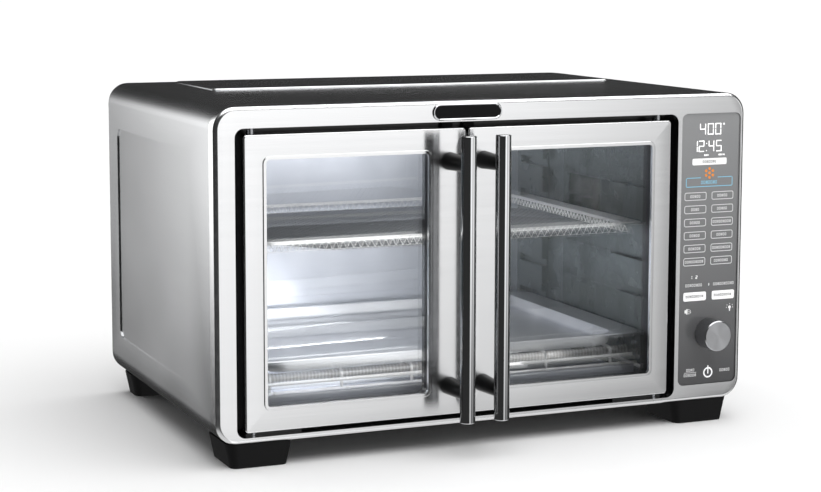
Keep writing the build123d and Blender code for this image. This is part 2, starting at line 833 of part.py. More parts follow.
# ---------------------------------------------------------------- lamp and temperature probe
lamp_wall = cavity_x1 + pocket_depth + wall_sheet
lamp_middle = ((lamp_y0 + lamp_y1) / 2, (lamp_z0 + lamp_z1) / 2)
with BuildPart() as lamp_lens:
    with BuildSketch(side_at(lamp_wall)):
        field(lamp_y0, lamp_y1, lamp_z0, lamp_z1, 4)
    extrude(amount=2.5)
save(lamp_lens, "lamp_lens")

with BuildPart() as lamp_bulb:
    with BuildSketch(Plane.XY.offset(lamp_z0 + 4)):
        with Locations((lamp_wall + 16, lamp_middle[0])):
            Circle(8)
    extrude(amount=lamp_z1 - lamp_z0 - 8)
    fillet(lamp_bulb.faces().sort_by(Axis.Z)[-1].edges(), radius=7)
save(lamp_bulb, "lamp_bulb")

with BuildPart() as lamp_socket:
    with BuildSketch(Plane.XY.offset(lamp_z0 - 16)):
        with Locations((lamp_wall + 16, lamp_middle[0])):
            Circle(11)
    extrude(amount=20)
    with BuildSketch(Plane.XY.offset(lamp_z0 - 16)):
        with Locations((lamp_wall + 8, lamp_middle[0])):
            Rectangle(16, 24)
    extrude(amount=2)
save(lamp_socket, "lamp_socket")

probe_radius = 2
with BuildPart() as temperature_probe:
    with BuildSketch(side_at(cavity_x0 - 20)):
        with Locations((cavity_y0 + 205, cavity_z1 - 20)):
            Circle(probe_radius)
    extrude(amount=75)
    fillet(temperature_probe.edges().sort_by(Axis.X)[-1], radius=1.5)
save(temperature_probe, "temperature_probe")

# ---------------------------------------------------------------- control panel
knob_spot = (x_left + knob_x, z_base + knob_z)
carrier_depth = 7
board_y = panel_back + carrier_depth

with BuildPart() as control_panel:
    with BuildSketch(face_at(panel_front)):
        field(panel_x0, panel_x1, panel_z0, panel_z1, panel_corner, -fit_gap)
        with Locations(knob_spot):
            Circle(knob_shaft_radius + 1, mode=Mode.SUBTRACT)
    extrude(amount=-panel_thickness)
save(control_panel, "control_panel")

with BuildPart() as panel_carrier:
    with BuildSketch(face_at(panel_back)):
        field(panel_x0, panel_x1, panel_z0, panel_z1, panel_corner, -fit_gap)
        field(panel_x0, panel_x1, panel_z0, panel_z1, panel_corner, -fit_gap - 2.5, Mode.SUBTRACT)
    extrude(amount=-carrier_depth)
save(panel_carrier, "panel_carrier")

with BuildPart() as display_module:
    with BuildSketch(face_at(panel_back)):
        field(panel_x0 + 8, panel_x1 - 8, z_base + 170, panel_z1 - 6)
    extrude(amount=-carrier_depth)
save(display_module, "display_module")

board_thickness = 1.6
with BuildPart() as control_board:
    with BuildSketch(face_at(board_y)):
        field(panel_x0, panel_x1, panel_z0, panel_z1, 0, -3)
        with Locations(knob_spot):
            Circle(knob_shaft_radius + 1, mode=Mode.SUBTRACT)
    extrude(amount=-board_thickness)
save(control_board, "control_board")

encoder_depth = 8
encoder_front = board_y + board_thickness
with BuildPart() as encoder_body:
    with BuildSketch(face_at(encoder_front)):
        with Locations(knob_spot):
            Rectangle(14, 14)
            Circle(knob_shaft_radius + running_gap, mode=Mode.SUBTRACT)
    extrude(amount=-encoder_depth)
save(encoder_body, "encoder_body")

knob_gap = 0.5
knob_back = panel_front - knob_gap
with BuildPart() as knob_shaft:
    with BuildSketch(face_at(knob_back - 8)):
        with Locations(knob_spot):
            Circle(knob_shaft_radius)
    extrude(amount=knob_back - 8 - encoder_front - encoder_depth)
save(knob_shaft, "knob_shaft")

with BuildPart() as knob:
    with BuildSketch(face_at(knob_back)):
        with Locations(knob_spot):
            Circle(knob_radius)
    extrude(amount=knob_length)
    chamfer(knob.faces().sort_by(Axis.Y)[0].edges(), length=0.8)
    with BuildSketch(face_at(knob_back)):
        with Locations(knob_spot):
            Circle(knob_shaft_radius)
    extrude(amount=8, mode=Mode.SUBTRACT)
save(knob, "knob")

power_board_x = x_right - 20
with BuildPart() as power_board:
    with BuildSketch(side_at(power_board_x)):
        field(y_face + 190, y_face + 280, z_base + 110, z_base + 205)
        with Locations(*[(y_face + y, z_base + z) for y in (196, 274) for z in (116, 199)]):
            Circle(1.6, mode=Mode.SUBTRACT)
    extrude(amount=-board_thickness)
    with BuildSketch(side_at(power_board_x - board_thickness)):
        with Locations((y_face + 215, z_base + 135), (y_face + 250, z_base + 135)):
            Rectangle(20, 16)
        with Locations((y_face + 225, z_base + 178)):
            Rectangle(34, 28)
    extrude(amount=-15)
save(power_board, "power_board")

with BuildPart() as board_standoffs:
    with BuildSketch(side_at(power_board_x)):
        with Locations(*[(y_face + y, z_base + z) for y in (196, 274) for z in (116, 199)]):
            Circle(3)
    extrude(amount=12)
    with BuildSketch(side_at(power_board_x - board_thickness - 1)):
        with Locations(*[(y_face + y, z_base + z) for y in (196, 274) for z in (116, 199)]):
            Circle(1.6)
    extrude(amount=board_thickness + 1)
save(board_standoffs, "board_standoffs")

# ---------------------------------------------------------------- accessories
shelf_y0 = cavity_y0 + accessory_front
shelf_y1 = cavity_y1 - accessory_back
shelf_half = (cavity_x1 - cavity_x0) / 2 + groove_depth - 0.8
pan_half = 151
pan_wall = 1
pan_z = groove_heights[1] + fit_gap
pan_floor_band = (pan_z - pan_depth + pan_wall - 0.05, pan_z - pan_depth + pan_wall + 0.05)

with BuildPart() as baking_pan:
    with BuildSketch(Plane.XY.offset(pan_z)):
        field(door_mid - pan_half, door_mid + pan_half, shelf_y0 + 3, shelf_y1 - 3, 18)
    extrude(amount=-pan_depth, taper=12)
    fillet(baking_pan.faces().sort_by(Axis.Z)[0].edges(), radius=4)
    with BuildSketch(Plane.XY.offset(pan_z)):
        field(door_mid - pan_half, door_mid + pan_half, shelf_y0 + 3, shelf_y1 - 3, 18, -pan_wall)
    extrude(amount=pan_wall - pan_depth, taper=12, mode=Mode.SUBTRACT)
    fillet(baking_pan.edges().filter_by_position(Axis.Z, *pan_floor_band), radius=3)
    with BuildSketch(Plane.XY.offset(pan_z)):
        field(door_mid - shelf_half, door_mid + shelf_half, shelf_y0, shelf_y1, 16)
        field(door_mid - pan_half, door_mid + pan_half, shelf_y0 + 3, shelf_y1 - 3, 18, -pan_wall, Mode.SUBTRACT)
    extrude(amount=pan_flange)
save(baking_pan, "baking_pan")

basket_z = groove_heights[4] + fit_gap
basket_half = 155
basket_rim = 2.4
basket_wall = 1.2
with BuildPart() as air_fry_basket:
    with BuildSketch(Plane.XY.offset(basket_z)):
        field(door_mid - basket_half, door_mid + basket_half, shelf_y0, shelf_y1, 9)
    extrude(amount=basket_rim - basket_depth)
    with BuildSketch(Plane.XY.offset(basket_z + basket_rim - basket_depth + basket_wall)):
        field(door_mid - basket_half, door_mid + basket_half, shelf_y0, shelf_y1, 9, -basket_wall)
    extrude(amount=basket_depth, mode=Mode.SUBTRACT)
    with BuildSketch(Plane.XY.offset(basket_z)):
        field(door_mid - shelf_half, door_mid + shelf_half, shelf_y0, shelf_y1, 9)
        field(door_mid - basket_half, door_mid + basket_half, shelf_y0, shelf_y1, 9, -basket_wall, Mode.SUBTRACT)
    extrude(amount=basket_rim)
save(air_fry_basket, "air_fry_basket")

rack_z = groove_heights[0] + fit_gap
rack_rail = 1.5
rack_rail_z = rack_z + rack_rail
rack_bar_z = groove_heights[1] - pan_depth - rack_wire - 1.0
rack_cross_z = rack_rail_z + 2.4
rack_y0 = shelf_y0 + rack_setback
rack_y1 = shelf_y1 - 3
rack_half = (cavity_x1 - cavity_x0) / 2 - 3
rack_bar_pitch = rack_leg_pitch / rack_bars_per_leg
rack_bar_count = (rack_leg_count - 1) * rack_bars_per_leg + 1
rack_cross_ys = [cavity_y0 + 57, (heater_y[0] + heater_y[1]) / 2, cavity_y0 + 160]

with BuildPart() as oven_rack:
    # side rails that run in the lowest grooves
    for sign in (-1, 1):
        with BuildSketch(face_at(shelf_y0)):
            with Locations((door_mid + sign * (shelf_half - rack_rail), rack_rail_z)):
                Circle(rack_rail)
        extrude(amount=shelf_y0 - shelf_y1)
    # cross rails into the grooves, and a raised one at the front
    for y in (rack_y0, rack_y1):
        with BuildSketch(side_at(door_mid - shelf_half + rack_rail)):
            with Locations((y, rack_cross_z)):
                Circle(rack_rail)
        extrude(amount=2 * (shelf_half - rack_rail))
    with BuildSketch(side_at(door_mid - rack_half)):
        with Locations((rack_y0 - 2.3, rack_bar_z - 6.5)):
            Circle(rack_rail)
    extrude(amount=2 * rack_half)
    # thin cross wires under the bars, clear of the heaters
    for y in rack_cross_ys:
        with BuildSketch(side_at(door_mid - rack_half)):
            with Locations((y, rack_bar_z - 1.5 * rack_wire)):
                Circle(rack_wire)
        extrude(amount=2 * rack_half)
    # bars from front to back; every third one stands on the cross rails
    for n in range(rack_bar_count):
        x = door_mid + (n - (rack_bar_count - 1) / 2) * rack_bar_pitch
        if n % rack_bars_per_leg == 0:
            with BuildLine(Plane(origin=(x, 0, 0), x_dir=(0, 1, 0), z_dir=(1, 0, 0))) as bar_line:
                FilletPolyline(
                    (rack_y0, rack_cross_z),
                    (rack_y0, rack_bar_z),
                    (rack_y1, rack_bar_z),
                    (rack_y1, rack_cross_z),
                    radius=3,
                )
            with BuildSketch(Plane(origin=(x, rack_y0, rack_cross_z), z_dir=(0, 0, 1))):
                Circle(rack_wire)
            sweep(path=bar_line.wire())
        else:
            with BuildSketch(face_at(rack_y0 + 12)):
                with Locations((x, rack_bar_z)):
                    Circle(rack_wire)
            extrude(amount=rack_y0 - rack_y1 + 24)
save(oven_rack, "oven_rack")

tray_sheet = 0.8
tray_side_gap = 3
tray_wall_height = 4
tray_lip_height = 12.5
tray_z = cavity_z0 + fit_gap
tray_x0 = cavity_x0 + tray_side_gap
tray_x1 = cavity_x1 - tray_side_gap
with BuildPart() as crumb_tray:
    with BuildSketch(Plane.XY.offset(tray_z)):
        field(tray_x0, tray_x1, shelf_y0, shelf_y1, 2)
    extrude(amount=tray_wall_height)
    with BuildSketch(Plane.XY.offset(tray_z + tray_sheet)):
        field(tray_x0, tray_x1, shelf_y0, shelf_y1, 2, -tray_sheet)
    extrude(amount=tray_wall_height, mode=Mode.SUBTRACT)
    with BuildSketch(face_at(shelf_y0)):
        field(tray_x0 + 2, tray_x1 - 2, tray_z + 1, tray_z + tray_lip_height)
    extrude(amount=-tray_sheet)
save(crumb_tray, "crumb_tray")
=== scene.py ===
"""Looks of a countertop toaster oven with French doors: finishes, printed panel, woven basket and lights.

Metres, +X to the right, -Y out of the front, +Z up, as in the part. Sizes named *_mm are millimetres.
"""
from math import radians

import bmesh
import bpy
from mathutils import Matrix, Vector


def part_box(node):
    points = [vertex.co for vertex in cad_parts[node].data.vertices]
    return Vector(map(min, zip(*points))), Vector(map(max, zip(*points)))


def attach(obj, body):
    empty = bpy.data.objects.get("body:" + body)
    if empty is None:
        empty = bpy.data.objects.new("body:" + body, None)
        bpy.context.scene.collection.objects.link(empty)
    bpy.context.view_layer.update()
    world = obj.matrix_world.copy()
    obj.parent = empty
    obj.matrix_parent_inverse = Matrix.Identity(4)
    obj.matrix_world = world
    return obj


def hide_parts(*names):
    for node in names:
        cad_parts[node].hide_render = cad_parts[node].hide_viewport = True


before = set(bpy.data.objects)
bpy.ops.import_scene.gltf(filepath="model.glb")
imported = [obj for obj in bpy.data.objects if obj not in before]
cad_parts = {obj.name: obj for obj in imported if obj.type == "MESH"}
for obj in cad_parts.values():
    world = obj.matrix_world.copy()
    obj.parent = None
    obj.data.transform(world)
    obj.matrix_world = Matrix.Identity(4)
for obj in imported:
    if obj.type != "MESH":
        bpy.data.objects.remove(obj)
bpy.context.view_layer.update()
MM = 0.001
# noise keeps mostly within this part of its range
NOISE_RANGE = {"From Min": 0.3, "From Max": 0.7}


# ---------------------------------------------------------------- small helpers
def linear(hex_colour):
    """An sRGB hex colour as linear RGBA."""
    parts = [int(hex_colour[i : i + 2], 16) / 255 for i in (1, 3, 5)]
    return tuple(c / 12.92 if c <= 0.04045 else ((c + 0.055) / 1.055) ** 2.4 for c in parts) + (1,)


def add_node(tree, kind, inputs=None, out=0, **settings):
    """Add a node, apply its settings, give its sockets a value or a link, and return one of its outputs."""
    node = tree.nodes.new(kind)
    for name, value in settings.items():
        setattr(node, name, value)
    for socket, value in (inputs or {}).items():
        if isinstance(value, bpy.types.NodeSocket):
            tree.links.new(value, node.inputs[socket])
        else:
            node.inputs[socket].default_value = value
    return node.outputs[out]


def new_finish(name, **sockets):
    """A material with one Principled shader; returns the material, its tree and the shader."""
    material = bpy.data.materials.new(name)
    material.use_nodes = True
    tree = material.node_tree
    shader = tree.nodes["Principled BSDF"]
    for socket, value in sockets.items():
        shader.inputs[socket.replace("_", " ")].default_value = value
    return material, tree, shader


def feed(shader, **sources):
    """Link node outputs to the shader's sockets."""
    for socket, output in sources.items():
        shader.id_data.links.new(output, shader.inputs[socket.replace("_", " ")])


def grain(tree, size_mm, detail=2):
    """Noise on the piece's own coordinates, with grains of this size along X, Y and Z."""
    place = add_node(tree, "ShaderNodeTexCoord", out="Object")
    cells = [1 / (size * MM) for size in size_mm]
    scaled = add_node(tree, "ShaderNodeMapping", {"Vector": place, "Scale": cells})
    return add_node(tree, "ShaderNodeTexNoise", {"Vector": scaled, "Scale": 1, "Detail": detail})


def mottled(name, tones, size_mm, detail=2, rough=None, relief=None, **sockets):
    """A finish that wanders between two tones; with rough its gloss wanders too, and with relief its height.

    rough is a range of roughness, and relief a height in millimetres and its strength.
    """
    material, tree, shader = new_finish(name, **sockets)
    speck = grain(tree, size_mm, detail)
    first, second = (linear(tone) for tone in tones)
    tone = {"Factor": speck, 6: first, 7: second}
    feed(shader, Base_Color=add_node(tree, "ShaderNodeMix", tone, out=2, data_type="RGBA"))
    if rough:
        gloss = {"Value": speck, **NOISE_RANGE, "To Min": rough[0], "To Max": rough[1]}
        feed(shader, Roughness=add_node(tree, "ShaderNodeMapRange", gloss))
    if relief:
        height, strength = relief
        surface = {"Height": speck, "Distance": height * MM, "Strength": strength}
        feed(shader, Normal=add_node(tree, "ShaderNodeBump", surface))
    return material


# ---------------------------------------------------------------- finishes with a direction or a pattern
def brushed_stainless():
    """304 sheet, finely brushed from side to side: reflections stay sharp across and smear up and down."""
    material, tree, shader = new_finish("brushed_stainless", Metallic=1.0, Anisotropic=0.9)
    # real grain is about 0.1 mm across; drawn 0.6 mm wide so that it shows
    lines = grain(tree, (110, 0.6, 0.6), 4)
    broad = grain(tree, (330, 4.5, 4.5))
    tone = {"Factor": lines, 6: linear("#e6e6e7"), 7: linear("#dedfe0")}
    gloss = {"Value": broad, **NOISE_RANGE, "To Min": 0.16, "To Max": 0.2}
    feed(
        shader,
        Base_Color=add_node(tree, "ShaderNodeMix", tone, out=2, data_type="RGBA"),
        Roughness=add_node(tree, "ShaderNodeMapRange", gloss),
        Tangent=add_node(tree, "ShaderNodeCombineXYZ", {"Z": 1.0}),
        Normal=add_node(tree, "ShaderNodeBump", {"Height": lines, "Distance": 0.02 * MM, "Strength": 0.08}),
    )
    return material


def satin_cover_steel():
    """Ferritic sheet with a fine satin grain from front to back under a clear lacquer."""
    material, tree, shader = new_finish("satin_cover_steel", Metallic=1.0, Anisotropic=0.85)
    # real grain is about 0.1 mm across; drawn 0.65 mm wide so that it shows
    lines = grain(tree, (0.65, 85, 0.65), 3)
    clouds = grain(tree, (110, 140, 110))
    surface = add_node(tree, "ShaderNodeNewGeometry", out="Normal")
    smear = {0: surface, 1: (0, 1, 0)}
    tone = {"Factor": lines, 6: linear("#d2d3d4"), 7: linear("#c6c7c9")}
    gloss = {"Value": clouds, **NOISE_RANGE, "To Min": 0.2, "To Max": 0.25}
    feed(
        shader,
        Base_Color=add_node(tree, "ShaderNodeMix", tone, out=2, data_type="RGBA"),
        Roughness=add_node(tree, "ShaderNodeMapRange", gloss),
        Tangent=add_node(tree, "ShaderNodeVectorMath", smear, operation="CROSS_PRODUCT"),
        Normal=add_node(tree, "ShaderNodeBump", {"Height": lines, "Distance": 0.02 * MM, "Strength": 0.12}),
    )
    return material


def panel_film():
    """Back-printed gloss film over acrylic, a metallic grey that darkens towards the bottom."""
    material, tree, shader = new_finish("panel_film", Roughness=0.22, Coat_Weight=0.5, Coat_Roughness=0.05)
    low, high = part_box("control_panel")
    place = add_node(tree, "ShaderNodeTexCoord", out="Object")
    height = add_node(tree, "ShaderNodeSeparateXYZ", {"Vector": place}, out="Z")
    up = add_node(tree, "ShaderNodeMapRange", {"Value": height, "From Min": low.z, "From Max": high.z})
    fade = {"Factor": up, 6: linear("#3e3e40"), 7: linear("#949596")}
    shade = add_node(tree, "ShaderNodeMix", fade, out=2, data_type="RGBA")
    # real flakes are about 0.03 mm; drawn 0.4 mm wide so that they show
    flake = {"Value": grain(tree, (0.4, 0.4, 0.4), 1), **NOISE_RANGE, "To Max": 0.08}
    sparkle = {"Factor": add_node(tree, "ShaderNodeMapRange", flake), 6: shade, 7: linear("#c8c8ca")}
    feed(shader, Base_Color=add_node(tree, "ShaderNodeMix", sparkle, out=2, data_type="RGBA"))
    return material


def spun_aluminium():
    """Aluminium turned on a lathe: rings round the knob's axis, which runs along Y."""
    material, tree, shader = new_finish("spun_aluminium", Metallic=1.0, Roughness=0.3, Anisotropic=0.85)
    low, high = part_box("knob")
    middle = (low + high) / 2
    place = add_node(tree, "ShaderNodeTexCoord", out="Object")
    shift = {0: place, 1: (-middle.x, 0, -middle.z)}
    centred = add_node(tree, "ShaderNodeVectorMath", shift, operation="ADD")
    flat = add_node(tree, "ShaderNodeVectorMath", {0: centred, 1: (1, 0, 1)}, operation="MULTIPLY")
    # 260 gives a ring about every 1.2 mm
    rings = {"Vector": flat, "Scale": 260, "Distortion": 1.2, "Detail": 2}
    turned = add_node(
        tree, "ShaderNodeTexWave", rings, out="Fac", wave_type="RINGS", rings_direction="SPHERICAL"
    )
    tone = {"Factor": turned, 6: linear("#c8c9cb"), 7: linear("#b2b3b6")}
    feed(shader, Base_Color=add_node(tree, "ShaderNodeMix", tone, out=2, data_type="RGBA"), Tangent=flat)
    return material


def frosted_quartz():
    """Milky quartz tube with the heating coil's bands showing through."""
    material, tree, shader = new_finish("frosted_quartz", Roughness=0.25, Coat_Weight=0.4)
    place = add_node(tree, "ShaderNodeTexCoord", out="Object")
    # 110 gives a band about every 3 mm
    coil = {"Vector": place, "Scale": 110}
    bands = add_node(tree, "ShaderNodeTexWave", coil, out="Fac", wave_type="BANDS", bands_direction="X")
    tone = {"Factor": bands, 6: linear("#e9e8e6"), 7: linear("#c9c6c2")}
    feed(shader, Base_Color=add_node(tree, "ShaderNodeMix", tone, out=2, data_type="RGBA"))
    return material


def aluminised_sheet(name, tones, rough):
    """Hot-dip aluminised sheet: a soft grey with cloudy bright patches."""
    return mottled(name, tones, (22, 22, 22), 4, rough, (0.2, 0.15), Metallic=0.85)


def ink(name, hex_colour, glow=0.0):
    """Printed ink, or a lit segment where it glows; on plain print the glow is painted brightness. A fine
    mottle keeps it from looking flat.
    """
    material, tree, shader = new_finish(name, Roughness=0.4)
    speck = {"Value": grain(tree, (0.8, 0.8, 0.8), 1), **NOISE_RANGE, "To Max": 0.06}
    share = add_node(tree, "ShaderNodeMapRange", speck)
    tone = {"Factor": share, 6: linear(hex_colour), 7: linear("#808080")}
    feed(shader, Base_Color=add_node(tree, "ShaderNodeMix", tone, out=2, data_type="RGBA"))
    if glow:
        shader.inputs["Emission Color"].default_value = linear(hex_colour)
        shader.inputs["Emission Strength"].default_value = glow
    return material


# ---------------------------------------------------------------- mottled finishes
# vitreous enamel on pressed steel, satin black with a faint orange peel
enamel = mottled(
    "black_enamel", ("#111112", "#17171a"), (2.4, 2.4, 2.4), relief=(0.06, 0.5), Roughness=0.34
)
# polished chrome on drawn tube, with a trace of drawing lines along its length
handle_chrome = mottled(
    "handle_tube_chrome", ("#dfe0e1", "#d3d4d6"), (1.1, 1.1, 125), rough=(0.07, 0.11), Metallic=1.0
)
# decorative chrome plate, nearly a mirror
chrome = mottled("bright_chrome", ("#dcdddf", "#cfd0d3"), (17, 17, 17), rough=(0.06, 0.12), Metallic=1.0)
# moulded ABS with a fine spark-eroded texture, matte black
abs_black = mottled(
    "moulded_black_abs",
    ("#070708", "#0d0d0e"),
    (0.6, 0.6, 0.6),
    relief=(0.08, 0.6),
    Roughness=0.55,
    Specular_IOR_Level=0.2,
)
# glass-filled nylon posts, smooth satin black
post_black = mottled(
    "satin_black_post",
    ("#060606", "#0b0b0c"),
    (3.3, 3.3, 3.3),
    Roughness=0.3,
    Specular_IOR_Level=0.25,
)
# clear tempered soda-lime glass, slightly cool
pane = mottled(
    "window_pane",
    ("#f4f8f8", "#eef4f5"),
    (70, 70, 70),
    Roughness=0.02,
    Transmission_Weight=1.0,
    IOR=1.45,
    Alpha=0.25,
)
# clear bulb glass, faintly warm
bulb_glass = mottled(
    "lamp_envelope",
    ("#fff8e6", "#fdf3da"),
    (10, 10, 10),
    1,
    Roughness=0.05,
    Transmission_Weight=0.9,
    IOR=1.45,
    Alpha=0.5,
)
# extruded black silicone, dull with a soft sheen
seal = mottled(
    "silicone_seal", ("#101010", "#1c1c1c"), (3.3, 3.3, 3.3), Roughness=0.6, Sheen_Weight=0.1
)
# bright zinc on turned steel parts
zinc = mottled("zinc_plate", ("#b8babd", "#9fa1a5"), (2, 2, 2), rough=(0.22, 0.34), Metallic=1.0)
# unglazed steatite ceramic, warm white
ceramic = mottled("steatite", ("#e4e0d4", "#cfc9ba"), (1.1, 1.1, 1.1), Roughness=0.7)
# stainless wire given a near-white colour, a painted highlight that stands for its bright reflections
wire = mottled("wire_painted_white", ("#fbfbfa", "#eeeeef"), (5, 5, 5), Metallic=0.25, Roughness=0.35)
# plain drawn stainless wire of the woven floor, duller than the rim
mesh_wire = mottled("woven_mesh_wire", ("#8f9193", "#7b7d80"), (5, 5, 5), Metallic=0.8, Roughness=0.4)
# bright baking tin, rolled smooth, with faint cloudy wear
tinplate = mottled("tinplate", ("#f0f1f3", "#dcdee2"), (33, 33, 33), 3, (0.3, 0.42), Metallic=0.8)
# green solder mask on glass-epoxy
board = mottled(
    "circuit_board", ("#0f4a2c", "#17613b"), (2, 2, 2), 1, Roughness=0.35, Coat_Weight=0.2
)
# varnished laminated motor steel, its sheets stacked along X
lamination = mottled(
    "motor_lamination", ("#6b6a68", "#4c4b4a"), (0.65, 170, 170), 1, (0.35, 0.5), Metallic=0.9
)

steel = brushed_stainless()
# one aluminised steel in two tones: painted light on the back sheet and crumb tray, which are made far
# lighter, and painted shade on the side walls, which are made darker
painted_light_cavity = aluminised_sheet("cavity_back_painted_light", ("#d6d9e2", "#c0c5cf"), (0.3, 0.42))
painted_shade_walls = aluminised_sheet("cavity_wall_painted_shade", ("#767d7c", "#626968"), (0.24, 0.34))
fan_metal = aluminised_sheet("fan_sheet", ("#a8abac", "#8f9293"), (0.3, 0.4))

finish_of = {
    "front_bezel": steel,
    "outer_cover": satin_cover_steel(),
    "control_panel": panel_film(),
    "knob": spun_aluminium(),
    "heater_tubes": frosted_quartz(),
    "badge_rim": chrome,
    "lamp_lens": pane,
    "lamp_bulb": bulb_glass,
    "fan_motor": lamination,
    "baking_pan": tinplate,
    "oven_rack": wire,
}
SHARED_FINISHES = (
    (enamel, "base_plate back_panel recess_frame hinge_brackets"),
    (
        abs_black,
        "feet cord_inlet badge_plate door_magnets panel_carrier display_module encoder_body board_standoffs",
    ),
    (zinc, "foot_screws back_panel_screws link_rod fan_shaft temperature_probe knob_shaft"),
    (painted_light_cavity, "cavity_shell crumb_tray"),
    (painted_shade_walls, "left_side_wall right_side_wall fan_housing"),
    (fan_metal, "fan_wheel cooling_fan"),
    (ceramic, "heater_insulators lamp_socket"),
    (board, "control_board power_board"),
)
for finish, names in SHARED_FINISHES:
    for name in names.split():
        finish_of[name] = finish
DOOR_FINISHES = {
    "door_skin": steel,
    "door_glass": pane,
    "inner_panel": enamel,
    "gasket": seal,
    "handle_bar": handle_chrome,
    "handle_posts": post_black,
    "handle_screws": zinc,
    "hinge_pins": zinc,
    "crank": zinc,
}
for side in ("left", "right"):
    for name, finish in DOOR_FINISHES.items():
        finish_of[f"{side}_{name}"] = finish

WELD_REACH = 0.002 * MM
CREASE_ANGLE = radians(28)
for name, finish in finish_of.items():
    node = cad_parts[name]
    node.data.materials.clear()
    node.data.materials.append(finish)
    for polygon in node.data.polygons:
        polygon.use_smooth = True
    weld = node.modifiers.new("weld", "WELD")
    weld.merge_threshold = WELD_REACH
    crease = node.modifiers.new("crease", "EDGE_SPLIT")
    crease.split_angle = CREASE_ANGLE

# the top edge of each door is bright steel between the hinge ends
BRIGHT_LEFT, BRIGHT_RIGHT, BRIGHT_DEPTH = -155 * MM, 106 * MM, 2 * MM
for side in ("left", "right"):
    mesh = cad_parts[f"{side}_inner_panel"].data
    mesh.materials.append(steel)
    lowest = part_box(f"{side}_inner_panel")[1].z - BRIGHT_DEPTH
    for polygon in mesh.polygons:
        at = polygon.center
        if polygon.normal.z > 0.7 and at.z > lowest and BRIGHT_LEFT < at.x < BRIGHT_RIGHT:
            polygon.material_index = 1


# ---------------------------------------------------------------- making pieces
def finish_piece(bm, name, material, body):
    """Write a mesh out as a piece at the origin, give it its finish and let it ride on its body."""
    bmesh.ops.remove_doubles(bm, verts=bm.verts, dist=0.0005 * MM)
    bmesh.ops.recalc_face_normals(bm, faces=bm.faces)
    mesh = bpy.data.meshes.new(name)
    bm.to_mesh(mesh)
    bm.free()
    mesh.materials.append(material)
    piece = bpy.data.objects.new(name, mesh)
    bpy.context.scene.collection.objects.link(piece)
    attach(piece, body)
    return piece


def bar_between(bm, x0, x1, y0, y1, z0, z1):
    """A straight-sided bar from corner to corner."""
    made = bmesh.ops.create_cube(bm, size=1)
    size = Vector((x1 - x0, y1 - y0, z1 - z0))
    middle = Vector((x0 + x1, y0 + y1, z0 + z1)) / 2
    bmesh.ops.scale(bm, vec=size, verts=made["verts"])
    bmesh.ops.translate(bm, vec=middle, verts=made["verts"])


def rounded_loop(bm, points, corner, segments):
    """A flat face through four points, with rounded corners, in an empty mesh."""
    corners = [bm.verts.new(point) for point in points]
    bm.faces.new(corners)
    if corner > 0:
        bmesh.ops.bevel(
            bm,
            geom=corners,
            offset=corner,
            offset_type="OFFSET",
            segments=segments,
            profile=0.5,
            affect="VERTICES",
            material=-1,
        )
    bm.normal_update()
    return next(iter(bm.faces))


def thick_pad(bm, points, corner, rise, outline=0.0, segments=5):
    """Add a rounded pad, or only its outline of the given width, raised by a vector."""
    pad = bmesh.new()
    face = rounded_loop(pad, points, corner, segments)
    if outline:
        bmesh.ops.inset_individual(pad, faces=[face], thickness=outline, use_even_offset=True)
        bmesh.ops.delete(pad, geom=[face], context="FACES_ONLY")
    grown = bmesh.ops.extrude_face_region(pad, geom=list(pad.faces))
    moved = [v for v in grown["geom"] if isinstance(v, bmesh.types.BMVert)]
    bmesh.ops.translate(pad, vec=rise, verts=moved)
    mesh = bpy.data.meshes.new("pad")
    pad.to_mesh(mesh)
    pad.free()
    bm.from_mesh(mesh)
    bpy.data.meshes.remove(mesh)


# ---------------------------------------------------------------- control panel print
# places on the panel are in millimetres from its top left corner
panel_low, panel_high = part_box("control_panel")
INK_HEIGHT = 0.05 * MM
# a hair in front of the film, so that the two faces never share a plane
ink_y = panel_low.y - 0.01 * MM


def pad_mm(bm, left, right, top, bottom, corner, outline=0.0, base_y=ink_y):
    """A rounded pad of ink on the panel, or only its outline."""
    x0, x1 = panel_low.x + left * MM, panel_low.x + right * MM
    z0, z1 = panel_high.z - bottom * MM, panel_high.z - top * MM
    points = ((x0, base_y, z0), (x1, base_y, z0), (x1, base_y, z1), (x0, base_y, z1))
    thick_pad(bm, points, corner * MM, (0, -INK_HEIGHT, 0), outline * MM)


SEGMENTS = {"0": "abcdef", "1": "bc", "2": "abged", "4": "fgbc", "5": "afgcd"}


def lit_digit(bm, digit, left, top, width, height, stroke):
    """A seven-segment digit, with a small gap at the end of each segment."""
    half = height / 2
    gap = 0.22
    spots = {
        "a": (left + gap, left + width - gap, top, top + stroke),
        "g": (left + gap, left + width - gap, top + half - stroke / 2, top + half + stroke / 2),
        "d": (left + gap, left + width - gap, top + height - stroke, top + height),
        "f": (left, left + stroke, top + gap, top + half - gap),
        "b": (left + width - stroke, left + width, top + gap, top + half - gap),
        "e": (left, left + stroke, top + half + gap, top + height - gap),
        "c": (left + width - stroke, left + width, top + half + gap, top + height - gap),
    }
    for name in SEGMENTS[digit]:
        pad_mm(bm, *spots[name], stroke * 0.3)


def marks(bm, count, middle, top, pitch, height, base_y=ink_y):
    """A row of small plain bars, which stands for a word of so many letters."""
    left = middle - count * pitch / 2
    bar = 0.72 * pitch
    for n in range(count):
        x = left + n * pitch
        if n % 3 == 2:
            # a narrow and a wide bar
            pad_mm(bm, x, x + 0.42, top, top + height, 0, base_y=base_y)
            pad_mm(bm, x + 0.8, x + bar, top, top + height, 0, base_y=base_y)
        else:
            pad_mm(bm, x, x + bar, top, top + height, 0.2, 0.36, base_y)


def print_piece(bm, name, material):
    """Write out one colour of the panel's print."""
    finish_piece(bm, name, material, "case")


# the key and symbol print is given a faint emission: painted brightness, though the print is no lamp
white_ink_painted_glow = ink("white_ink_painted_glow", "#ffffff", 0.25)
grey_ink_painted_glow = ink("grey_ink_painted_glow", "#e4e4e5", 0.12)

